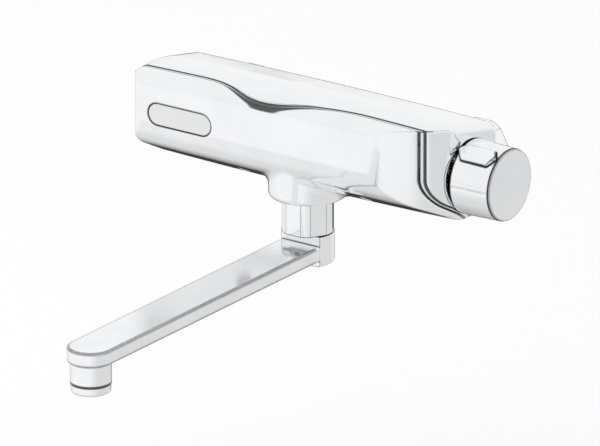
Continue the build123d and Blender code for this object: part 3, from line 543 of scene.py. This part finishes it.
def floor_paint():
    """A matt grey that also glows where it is looked at."""
    paint = Graph(bpy.data.materials.new("floor_paint"))
    grey = rgba(FLOOR_GREY, FLOOR_GREY, FLOOR_GREY)
    matt = paint.node("ShaderNodeBsdfDiffuse", None, {"Color": grey})["BSDF"]
    strength = looked_at(paint) * FLOOR_GLOW
    glow = paint.node("ShaderNodeEmission", None, {"Color": rgba(1, 1, 1), "Strength": strength})["Emission"]
    both = paint.node("ShaderNodeAddShader", None, {0: matt, 1: glow})["Shader"]
    paint.node("ShaderNodeOutputMaterial", None, {"Surface": both})
    return paint.owner


bpy.ops.mesh.primitive_plane_add(size=FLOOR_SIZE, location=(0, 0, floor_z))
floor = bpy.context.object
floor.name = "floor"
floor.data.materials.append(floor_paint())
print("floor at z =", round(floor_z / MM, 1), "mm")

# %% [markdown]
# ## The white tent
# A product photographer puts a tent of white cloth around shiny things, so that they mirror nothing but
# white. The world does that here. It looks white, and lights the tap a little less than white would, so
# that pale surfaces keep their colour and don't burn out.

# %% World
TENT_LIGHT = 0.82


def white_tent():
    """A world that looks white and lights the tap a little less."""
    world = bpy.data.worlds.new("white_tent")
    tent = Graph(world)
    light = tent.mix(looked_at(tent), rgba(TENT_LIGHT, TENT_LIGHT, TENT_LIGHT), rgba(1, 1, 1))
    sky = tent.node("ShaderNodeBackground", None, {"Color": light, "Strength": 1.0})["Background"]
    tent.node("ShaderNodeOutputWorld", None, {"Surface": sky})
    return world


bpy.context.scene.world = white_tent()
print("the tent lights with", TENT_LIGHT, "and looks white")

# %% [markdown]
# ## Cards for the plating
# Plating has no colour of its own: it shows what stands round it. In a white tent alone it would vanish.
# A photographer sets cards just out of the picture, so that the outlines turn dark and the sides turn
# grey. Darker plating could do the same, but it would darken the faces as well.
#
# A card could be a plain grey sheet, but its straight hard edge would show in every curved face. So its
# paint is an oval glow with a soft edge. It shows in the first mirror only, because otherwise the spout's
# top would mirror the body's dark underside.


# %% The paint of a card
def card_paint(name, shade, soft):
    """A glow that fades to clear over the soft share of the card, and is clear beyond the first mirror."""
    paint = Graph(bpy.data.materials.new(name))
    spot = paint.node("ShaderNodeTexCoord")["Object"]
    off_middle = paint.node("ShaderNodeVectorMath", {"operation": "LENGTH"}, {0: spot})["Value"]
    mirrors = paint.node("ShaderNodeLightPath")["Glossy Depth"]
    veil = (paint.spread(off_middle, 1 - soft, 1.0) + mirrors - 1.0).clamped()
    grey = rgba(shade, shade, shade)
    glow = paint.node("ShaderNodeEmission", None, {"Color": grey, "Strength": 1.0})["Emission"]
    clear = paint.node("ShaderNodeBsdfTransparent")["BSDF"]
    both = paint.node("ShaderNodeMixShader", None, {0: veil, 1: glow, 2: clear})["Shader"]
    paint.node("ShaderNodeOutputMaterial", None, {"Surface": both})
    return paint.owner


print("a card's paint takes its shade and the share of it that fades")

# %% [markdown]
# ## Where the cards stand
# A mirror shows what lies in the direction that it throws the eye, and at an outline that is straight on,
# past the tap. So the dark card lies on the floor behind the tap, for the outline of the belly, and the
# back card stands far behind as a low dark band, for the outline of the top. The right card is a pale
# grey, for the faces that look to the right, and the under card is pale too, for those that look down.
# Lamps could not do this, because they can only add light. The cards are hidden from everything but
# mirrors, so that they cast no shadow and take no light from the tap. Those on the floor lie two
# millimetres apart, because two sheets in one plane would show through each other in patches.


# %% Cards
def card(name, place, half_size, shade, soft, turn=(0, 0, 0)):
    """A flat oval card, which only mirrors see."""
    bpy.ops.mesh.primitive_plane_add(size=2.0, location=place)
    sheet = bpy.context.object
    sheet.name = name
    sheet.scale = (*half_size, 1)
    sheet.rotation_euler = turn
    sheet.data.materials.append(card_paint(name + "_paint", shade, soft))
    sheet.visible_camera = False
    sheet.visible_diffuse = False
    sheet.visible_shadow = False
    sheet.visible_transmission = False


AWAY_X, AWAY_Y = -0.577, 0.817
away = math.atan2(AWAY_Y, AWAY_X)
lying_along = (0, 0, away)
standing_across = (math.pi / 2, 0, away - math.pi / 2)
card("dark_card", (-0.37, 0.42, floor_z + 0.006), (0.66, 0.26), shade=0.04, soft=0.45, turn=lying_along)
card("right_card", (0.68, 0.15, floor_z + 0.004), (0.70, 1.00), shade=0.78, soft=0.3)
card("under_card", (-0.10, -0.02, floor_z + 0.002), (0.50, 0.42), shade=0.80, soft=0.6)
card("back_card", (-0.87, 1.23, -0.16), (1.2, 0.12), shade=0.02, soft=0.2, turn=standing_across)

# %% [markdown]
# ## The lamp
# The tent's light comes from everywhere and gives no shadow. One wide soft lamp from the upper left gives
# the tap its shadow on the floor and a little more light on top. The plating would mirror the lamp as a
# burnt white band, so mirrors don't see it.

# %% Lamp
LAMP_POWER = 3.6
LAMP_WIDTH = 1.2
lamp_place = Vector((-0.9, -0.7, 1.0))

lamp_data = bpy.data.lights.new("key_light", "AREA")
lamp_data.shape = "RECTANGLE"
lamp_data.size = lamp_data.size_y = LAMP_WIDTH
lamp_data.energy = LAMP_POWER
lamp = bpy.data.objects.new("key_light", lamp_data)
lamp.location = lamp_place
lamp.rotation_mode = "QUATERNION"
lamp.rotation_quaternion = (lamp_place - look_at).to_track_quat("Z", "Y")
lamp.visible_glossy = False
bpy.context.scene.collection.objects.link(lamp)
print("lamp at", round((lamp_place - look_at).length, 2), "m from the tap")

# %% [markdown]
# ## Colours
# The Standard view shows a colour as it is written, where the filmic ones bend it, and this picture has to
# keep its whites.

# %% Colour management
bpy.context.scene.view_settings.view_transform = "Standard"
